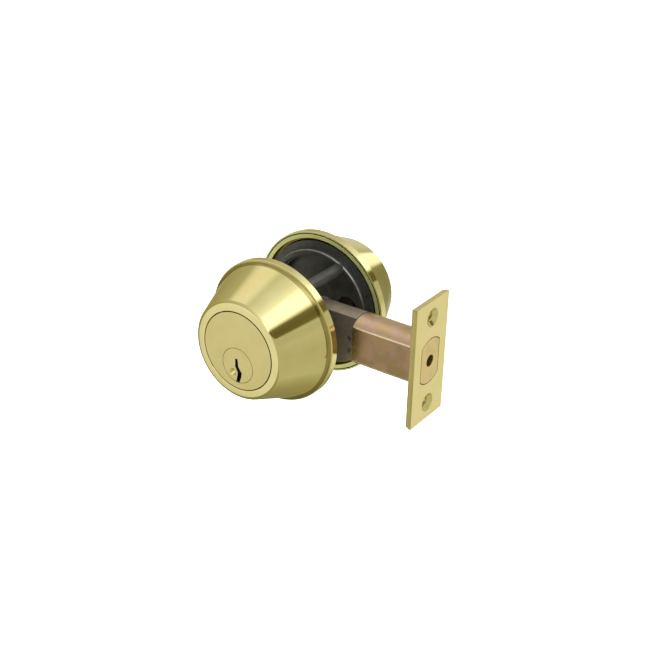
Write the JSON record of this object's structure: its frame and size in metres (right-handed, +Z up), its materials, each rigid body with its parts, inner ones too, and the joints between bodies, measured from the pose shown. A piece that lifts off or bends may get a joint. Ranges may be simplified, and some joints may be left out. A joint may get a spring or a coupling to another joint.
{
  "type": "deadbolt door lock",
  "caption": "Double-cylinder deadbolt: two tapered brass housings that clamp a door, keyed plugs, crank and sliding bolt behind an edge faceplate.",
  "frame": {"origin": "centre of the door's cross bore, in the middle of the door's thickness", "axes": "+X from the cross bore to the door's edge and the faceplate, +Y from the outside to the inside of the door, +Z up"},
  "size_m": [0.1046, 0.087, 0.0692],
  "materials": {
    "polished_brass": "polished and lacquered",
    "brass_face": "satin turned face, lacquered",
    "pin_brass": "turned, bare",
    "nickel_silver": "turned, bare",
    "spring_steel": "spring steel, bright",
    "zinc_plated": "zinc plated, clear",
    "black_steel": "black oxide steel",
    "dark_zinc": "die-cast zinc, dark plated",
    "chromated_steel": "steel, yellow chromate",
    "tail_steel": "steel, dark chromate",
    "bolt_steel": "steel, yellow chromate, ground end",
    "sintered_steel": "sintered steel, oil filled"
  },
  "bodies": {
    "lock_body": {"ext_housing": "polished_brass", "ext_cylinder": "brass_face", "ext_cylinder_nut": "zinc_plated", "ext_driver_pins": "nickel_silver", "ext_pin_springs": "spring_steel", "ext_spring_cover": "pin_brass", "ext_mount_plate": "dark_zinc", "ext_cylinder_screws": "zinc_plated", "int_housing": "polished_brass", "int_cylinder": "brass_face", "int_cylinder_nut": "zinc_plated", "int_driver_pins": "nickel_silver", "int_pin_springs": "spring_steel", "int_spring_cover": "pin_brass", "int_mount_plate": "dark_zinc", "int_set_screw": "black_steel", "mounting_screws": "zinc_plated", "faceplate": "polished_brass", "backing_plate": "brass_face", "bolt_case": "chromated_steel", "tail_case": "tail_steel", "end_bracket": "zinc_plated", "tail_rivets": "zinc_plated", "drag_spring": "spring_steel", "spring_anchor": "zinc_plated"},
    "ext_plug_body": {"ext_plug": "brass_face", "ext_tailpiece": "black_steel", "ext_plug_clip": "spring_steel", "ext_key_pins": "pin_brass"},
    "int_plug_body": {"int_plug": "brass_face", "int_tailpiece": "black_steel", "int_plug_clip": "spring_steel", "int_key_pins": "pin_brass"},
    "crank_body": {"crank": "sintered_steel", "crank_pin": "zinc_plated"},
    "bolt_body": {"bolt": "bolt_steel", "anti_saw_pin": "black_steel", "bolt_bar": "zinc_plated", "bolt_rivet": "zinc_plated"}
  },
  "joints": [
    {"name": "ext_plug_turn", "type": "hinge", "parent": "lock_body", "child": "ext_plug_body", "pos_m": [0, 0, -0.007], "axis": [0, 1, 0], "range_deg": [0, 114]},
    {"name": "int_plug_turn", "type": "hinge", "parent": "lock_body", "child": "int_plug_body", "pos_m": [0, 0, -0.007], "axis": [0, 1, 0], "range_deg": [0, 114]},
    {"name": "crank_turn", "type": "hinge", "parent": "lock_body", "child": "crank_body", "pos_m": [0, 0, -0.007], "axis": [0, 1, 0], "range_deg": [0, 114]},
    {"name": "bolt_throw", "type": "slide", "parent": "lock_body", "child": "bolt_body", "axis": [1, 0, 0], "range_m": [0, 0.0254]}
  ],
  "couplings": [
    {"joint": "ext_plug_turn", "follows": "bolt_throw", "rad_per_m": 78.333},
    {"joint": "int_plug_turn", "follows": "bolt_throw", "rad_per_m": 78.333},
    {"joint": "crank_turn", "follows": "bolt_throw", "rad_per_m": 78.333}
  ]
}
